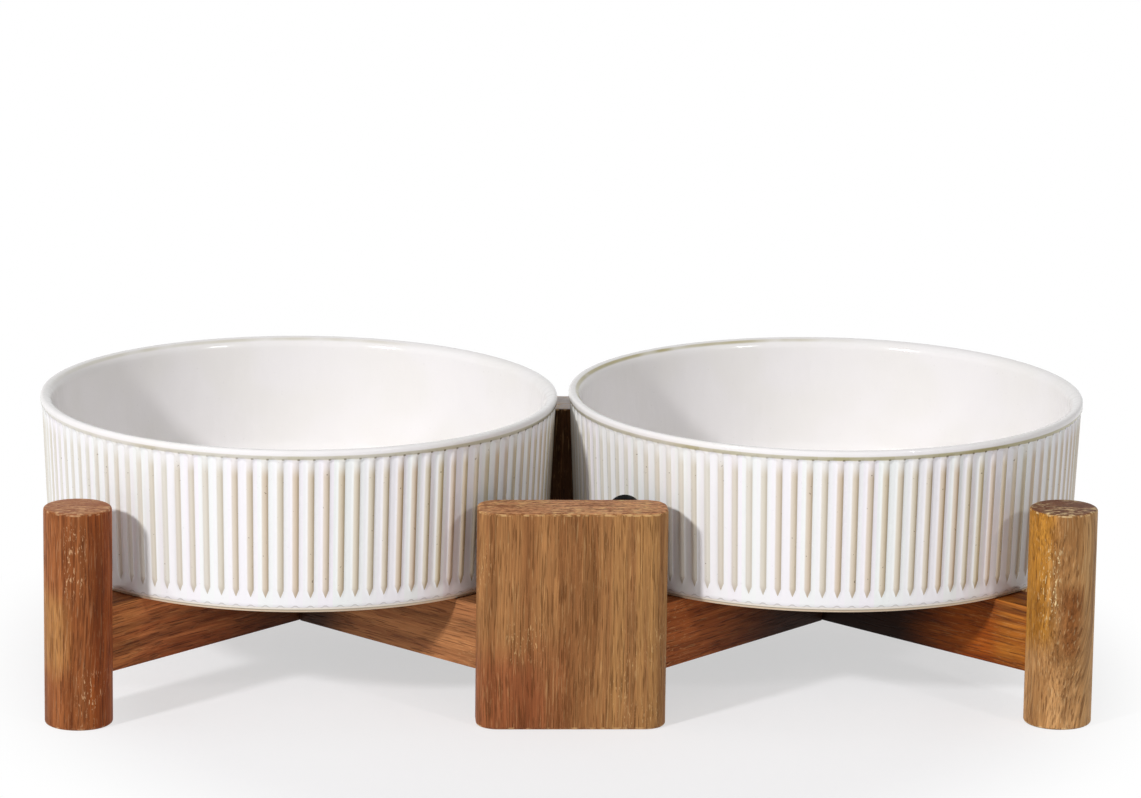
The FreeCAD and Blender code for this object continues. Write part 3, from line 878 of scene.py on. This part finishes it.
def rib_glaze(tree, spot, colour):
    """White panels, beige ribs where the glaze thins, painted light and shade on the ribs, and specks.
    """
    left_edge, right_edge = (-0.28, -0.15), (0.24, 0.2)
    tip_end, tip_fade = rib_full_mm - 0.6, (0.0, 0.1)
    head_run = (rib_shoulder_mm + 0.6, rib_shoulder_mm - 4.5)
    head_share = 0.3
    # Painted light lightens each rib's left flank; painted shade browns its right edge and its tip.
    lit_flank = (-0.25, 0.1, 0.7, 1.0)
    shaded_edge, shaded_edge_share, lit_side_edge_share = (0.06, 0.19), 0.5, 0.05
    shaded_tip = (rib_full_mm + 0.8, rib_tip_mm + 0.8, 0.0, 0.3)
    speck_spots, speck_step = 1.25, (0.755, 0.79)
    rib_specks, panel_specks = 0.75, 0.08
    rise, off_rib, warmth_and_shade = spot["rise"], spot["off_rib"], spot["warmth_and_shade"]

    tip = ease(tree, rise, rib_tip_mm, tip_end, kind="LINEAR")
    from_left = ease(tree, off_rib, *(times(tree, tip, edge) for edge in left_edge))
    from_right = ease(tree, off_rib, *(times(tree, tip, edge) for edge in right_edge))
    head = ease(tree, rise, *head_run)
    thin = times(tree, from_left, from_right, ease(tree, tip, *tip_fade), spot["outside"],
                 calc(tree, "MULTIPLY_ADD", head, 1 - head_share, head_share),
                 ease(tree, off_rib, *lit_flank))
    beige = blend(tree, spot["hues"][1], *map(paint, rib_beiges))
    beige = blend(tree, warmth_and_shade, paint(lit_side_rib_white), beige)
    shade_edge_weight = calc(tree, "MULTIPLY_ADD", warmth_and_shade, shaded_edge_share, lit_side_edge_share)
    edge = times(tree, ease(tree, off_rib, *shaded_edge), shade_edge_weight, head)
    rib_shade = calc(tree, "MAXIMUM", edge, ease(tree, rise, *shaded_tip))
    beige = blend(tree, rib_shade, beige, paint(rib_shade_brown))

    panel = blend(tree, spot["hues"][2], *map(paint, panel_whites))
    colour = blend(tree, spot["outside"], colour, panel)
    colour = blend(tree, thin, colour, beige)
    specks = ease(tree, noise(tree, spot["in_mm"], speck_spots, 1, 0.4), *speck_step)
    speckled = times(tree, specks, calc(tree, "MULTIPLY_ADD", thin, rib_specks, panel_specks))
    return blend(tree, speckled, colour, paint(speck_brown))


def lip_glaze(tree, given, spot, colour):
    """An olive line under the lip, a painted shade dot at each rib's head, and an olive break inside
    the lip.
    """
    line, line_face = (lip_base_mm + 0.3, 0.42, 0.4), (rim_mm - 2.2, rim_mm - 1.6)
    line_by_warmth_and_shade, line_strength = 0.5, (0.4, 1.0, 0.5, 1.0)
    line_share, line_break_share = 0.45, 0.55
    dot_across, dot_rise, dot_share = (0.2, 0.04, 0.08), (lip_base_mm - 0.25, 0.15, 0.3), 0.9
    crest_out, crest_rise = (rim_mm - 2.6, 0.2, 0.6), (lip_base_mm + 0.4, lip_base_mm + 0.9)
    break_run, break_patches = (0.3, 0.95, 0.0, 0.9), (0.38, 0.6, 0.25, 1.0)
    rise, out, warmth_and_shade, slow = spot["rise"], spot["out"], spot["warmth_and_shade"], spot["slow"]

    strength = ease(tree, calc(tree, "MULTIPLY_ADD", warmth_and_shade, line_by_warmth_and_shade, slow), *line_strength)
    under = times(tree, near(tree, rise, *line), ease(tree, out, *line_face), strength,
                  calc(tree, "MULTIPLY_ADD", given["Lip Break"], line_break_share, line_share))
    colour = blend(tree, under, colour, paint(lip_line_olive))
    # Painted shade: a dark dot in the hollow where each rib's head meets the lip.
    head_shade_dots = times(tree, near(tree, spot["off_rib"], *dot_across), near(tree, rise, *dot_rise),
                 spot["outside"], warmth_and_shade, dot_share)
    colour = blend(tree, head_shade_dots, colour, paint(rib_head_shade))
    toward_break = toward(tree, spot["bearing"], given["Lip Bearing"])
    breaks = times(tree, ease(tree, toward_break, *break_run), given["Lip Break"])
    crest = times(tree, near(tree, out, *crest_out), ease(tree, rise, *crest_rise), breaks,
                  ease(tree, slow, *break_patches))
    return blend(tree, crest, colour, paint(lip_crest_olive))


def foot_glaze(tree, spot, colour):
    """The cream band under the ribs, its grey arched line, painted shade at the step, the bare foot
    ring.

    It gives the colour and the mask of the bare ring.
    """
    arch_line, arch_reach, arch_fade = (0.26, 0.05, 1.65, 2.05), 0.06, 0.26
    arch_share = (0.4, 0.1, 0.08, 0.5)
    band_rise, band_out = (1.75, 1.45), (60, 62)
    step_rise, step_out, step_share = (0.85, 0.1, 0.2), (70, 72), 0.8
    bare_rise, bare_out = (0.76, 0.62), (64, 66)
    rise, out, from_rib = spot["rise"], spot["out"], spot["from_rib"]

    arched = near(tree, rise, ease(tree, from_rib, *arch_line), arch_reach, arch_fade)
    base_line = times(tree, arched, ease(tree, from_rib, *arch_share), spot["outside"])
    band = times(tree, ease(tree, rise, *band_rise), ease(tree, out, *band_out))
    colour = blend(tree, band, colour, paint(band_cream))
    colour = blend(tree, base_line, colour, paint(arch_grey))
    # Painted shade: a brown line in the crease at the step to the foot.
    step_shade_line = times(tree, near(tree, rise, *step_rise), ease(tree, out, *step_out), step_share)
    colour = blend(tree, step_shade_line, colour, paint(foot_step_shade))
    bare = times(tree, ease(tree, rise, *bare_rise), ease(tree, out, *bare_out))
    return blend(tree, bare, colour, paint(bare_clay)), bare


glaze_sheen = 0.5
glaze_relief = 0.0003
glaze_roughness = (0.3, 0.7, 0.1, 0.16)
bare_roughness = 0.6
inside_spots, inside_step = 0.05, (0.35, 0.65)
dimple_spots = (0.2, 0.2, 0.1)


def make_glaze_group():
    """White glaze on the ribbed bowl, from a vector in metres from the middle of the bowl's foot."""
    tree, given, result = new_group(
        "ribbed_glaze",
        {"Vector": "Vector", "Shade Bearing": "Float", "Lip Bearing": "Float", "Lip Break": "Float"},
        {"Color": "Color", "Roughness": "Float", "Height": "Float"})
    spot = glaze_spot(tree, given)
    inside = ease(tree, noise(tree, spot["in_mm"], inside_spots, 1), *inside_step)
    colour = blend(tree, inside, *map(paint, inside_whites))
    colour = lip_glaze(tree, given, spot, rib_glaze(tree, spot, colour))
    colour, bare = foot_glaze(tree, spot, colour)
    roughness = ease(tree, spot["slow"], *glaze_roughness)
    plug(tree, result.inputs["Color"], colour)
    plug(tree, result.inputs["Roughness"],
         calc(tree, "MULTIPLY_ADD", bare, bare_roughness, roughness))
    plug(tree, result.inputs["Height"], noise(tree, stretch(tree, spot["in_mm"], dimple_spots), 1))
    return tree


glaze_group = make_glaze_group()


def glaze_material(name, place, turn, shade_bearing, lip_bearing, lip_break):
    material, tree, shader = new_material(name, glaze_sheen)
    glaze = place_group(tree, glaze_group, {
        "Vector": own_place(tree, place, (0, 0, turn)), "Shade Bearing": shade_bearing,
        "Lip Bearing": lip_bearing, "Lip Break": lip_break})
    finish(tree, shader, glaze["Color"], glaze["Roughness"], glaze["Height"], glaze_relief)
    return material


left_bowl = spin_sector("bowl_left_ceramic")
pull_out_rib(left_bowl)
set_round(left_bowl)
smooth(left_bowl, bowl_smooth_angle)
right_bowl = left_bowl.copy()
right_bowl.data = left_bowl.data.copy()
right_bowl.name = "bowl_right_ceramic"
right_bowl.data.name = "bowl_right_ceramic"
bpy.context.collection.objects.link(right_bowl)

# Each bowl's turn in degrees, and its glaze: the bearings of its side of painted shade, with browner
# ribs, and of its lip's break in radians, and how strongly the lip breaks.
bowls = (
    (left_bowl, "bowl_left", "left_bowl", 2.45, (-0.4, 1.9, 0.4)),
    (right_bowl, "bowl_right", "right_bowl", 1.55, (-0.4, 2.5, 1.0)),
)
for bowl, node, body, degrees, glaze_breaks in bowls:
    place = middle_of(node)
    place.z -= bowl_height / 2
    turn = math.radians(degrees) - math.pi / rib_count
    bowl.data.transform(Matrix.Translation(place) @ Matrix.Rotation(turn, 4, "Z"))
    bowl.data.materials.append(glaze_material(node + "_glaze", place, turn, *glaze_breaks))
    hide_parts(node)
    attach(bowl, body)

# Floor and light
# A white paper floor that runs out to a white background, one soft window from the front left, a small
# lamp from the front right, and even light from all round.
floor_size = 8
floor_middle = (0, 2, 0)
floor_reach = (0.168, 0.21)
floor_run = (0.74, 1.14)
floor_glow = 0.56
paper_whites = ((0.91, 0.9, 0.925, 1), (0.92, 0.91, 0.935, 1))
paper_sheen = 0.1
paper_roughness = 0.9
paper_spots = 60
lamp_distance = 4
even_light = 0.335


def seen_directly(tree):
    """One for a ray from the camera, through glass or off a shiny face, and zero for other light."""
    ray = tree.nodes.new("ShaderNodeLightPath").outputs
    seen = calc(tree, "MAXIMUM", ray["Is Camera Ray"], ray["Is Transmission Ray"])
    return calc(tree, "MAXIMUM", seen, ray["Is Glossy Ray"])


def mix_shaders(tree, output, share, first, second):
    made = tree.nodes.new("ShaderNodeMixShader")
    for socket, value in zip(made.inputs, (share, first.outputs[0], second.outputs[0])):
        plug(tree, socket, value)
    plug(tree, tree.nodes[output].inputs["Surface"], made.outputs[0])


bpy.ops.object.select_all(action="DESELECT")
bpy.ops.mesh.primitive_plane_add(size=floor_size, location=floor_middle)
floor = start_piece("floor")
paper, paper_tree, paper_shader = new_material("floor_paper", paper_sheen)
paper_place = own_place(paper_tree)
paper_mottle = noise(paper_tree, paper_place, paper_spots, 3)
plug(paper_tree, paper_shader.inputs["Base Color"],
     blend(paper_tree, paper_mottle, *paper_whites))
paper_shader.inputs["Roughness"].default_value = paper_roughness
from_middle = paper_tree.nodes.new("ShaderNodeVectorMath")
from_middle.operation = "LENGTH"
reach_shares = (1 / floor_reach[0], 1 / floor_reach[1], 0)
plug(paper_tree, from_middle.inputs[0], stretch(paper_tree, paper_place, reach_shares))
run_out = ease(paper_tree, from_middle.outputs["Value"], *floor_run, floor_glow, 1.0)
mix_shaders(paper_tree, "Material Output", times(paper_tree, run_out, seen_directly(paper_tree)),
            paper_shader, paper_tree.nodes.new("ShaderNodeEmission"))
floor.data.materials.append(paper)

# A lamp's direction from the stand, its size in metres and its power.
lamps = (
    ("window", (-0.622, -0.615, 0.485), 0.36, 105),
    ("lamp", (0.55, -0.66, 0.51), 0.3, 23),
)
for name, direction, size, power in lamps:
    light = bpy.data.lights.new(name, "AREA")
    light.shape = "DISK"
    light.size = size
    light.energy = power
    lamp = bpy.data.objects.new(name, light)
    bpy.context.collection.objects.link(lamp)
    lamp.location = Vector(direction) * lamp_distance
    lamp.rotation_euler = (-lamp.location).to_track_quat("-Z", "Y").to_euler()

world = bpy.data.worlds.new("studio")
bpy.context.scene.world = world
world.use_nodes = True
sky = world.node_tree
even = sky.nodes["Background"]
white = sky.nodes.new("ShaderNodeBackground")
for background in (even, white):
    background.inputs["Color"].default_value = (1, 1, 1, 1)
even.inputs["Strength"].default_value = even_light
mix_shaders(sky, "World Output", seen_directly(sky), even, white)

# Camera
# It looks a little down on the stand, from just left of the middle, with a long lens.
camera_place = Vector((-0.0835, -1.7, 0.4746))
camera_yaw = math.radians(-2.89)
camera_pitch = math.radians(12.99)
camera_roll = math.radians(0.76)
camera_data = bpy.data.cameras.new("camera")
camera_data.sensor_width = 36
camera_data.lens = 181.83
camera = bpy.data.objects.new("camera", camera_data)
bpy.context.collection.objects.link(camera)
aim = Matrix.Rotation(camera_yaw, 4, "Z") @ Matrix.Rotation(math.radians(90) - camera_pitch, 4, "X")
camera.matrix_world = Matrix.Translation(camera_place) @ aim @ Matrix.Rotation(camera_roll, 4, "Z")
bpy.context.scene.camera = camera
bpy.context.scene.view_settings.view_transform = "Standard"
